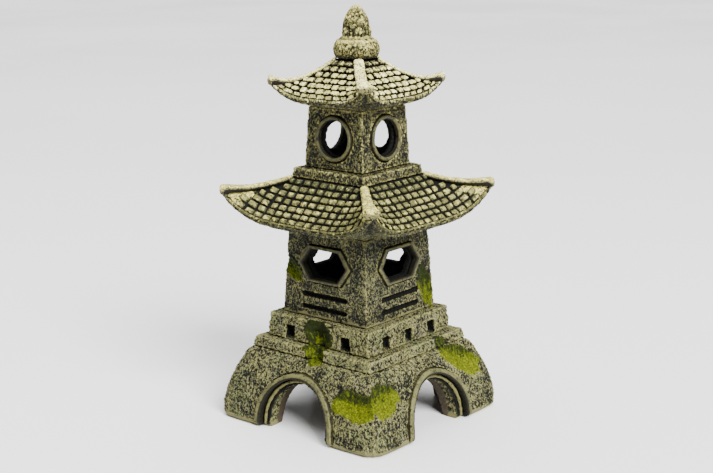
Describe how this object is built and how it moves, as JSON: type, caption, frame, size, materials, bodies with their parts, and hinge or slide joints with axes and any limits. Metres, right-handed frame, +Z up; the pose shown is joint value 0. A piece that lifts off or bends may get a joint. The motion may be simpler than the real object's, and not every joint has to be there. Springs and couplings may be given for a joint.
{
  "type": "cast resin pagoda ornament",
  "caption": "Small two-storey square pagoda ornament with swept tiled roofs, round and hexagonal windows and an arched, bulging base.",
  "frame": {"origin": "centre of the footprint on the ground plane, under the tower's axis", "axes": "+Z up the tower; the front face looks along -Y and the right face along +X"},
  "size_m": [0.1084, 0.1084, 0.21],
  "materials": {
    "stone_resin": "painted cast resin with a pitted granite look",
    "moulding_resin": "smooth painted cast resin mouldings",
    "tile_resin": "dry-brushed cast resin roof tiles and ridges"
  },
  "bodies": {
    "root": {"foot_front_right": "stone_resin", "foot_back_right": "stone_resin", "foot_back_left": "stone_resin", "foot_front_left": "stone_resin", "front_arch_ring": "moulding_resin", "right_arch_ring": "moulding_resin", "back_arch_ring": "moulding_resin", "left_arch_ring": "moulding_resin", "lower_step": "stone_resin", "parapet": "stone_resin", "front_wall": "stone_resin", "right_wall": "stone_resin", "back_wall": "stone_resin", "left_wall": "stone_resin", "front_hex_frame": "moulding_resin", "right_hex_frame": "moulding_resin", "back_hex_frame": "moulding_resin", "left_hex_frame": "moulding_resin", "lower_roof": "tile_resin", "lower_roof_ridge_front_right": "tile_resin", "lower_roof_ridge_back_right": "tile_resin", "lower_roof_ridge_back_left": "tile_resin", "lower_roof_ridge_front_left": "tile_resin", "collar": "stone_resin", "front_upper_wall": "stone_resin", "right_upper_wall": "stone_resin", "back_upper_wall": "stone_resin", "left_upper_wall": "stone_resin", "front_round_frame": "moulding_resin", "right_round_frame": "moulding_resin", "back_round_frame": "moulding_resin", "left_round_frame": "moulding_resin", "upper_roof": "tile_resin", "upper_roof_ridge_front_right": "tile_resin", "upper_roof_ridge_back_right": "tile_resin", "upper_roof_ridge_back_left": "tile_resin", "upper_roof_ridge_front_left": "tile_resin", "finial_ring": "stone_resin", "finial_bud": "stone_resin"}
  },
  "joints": []
}
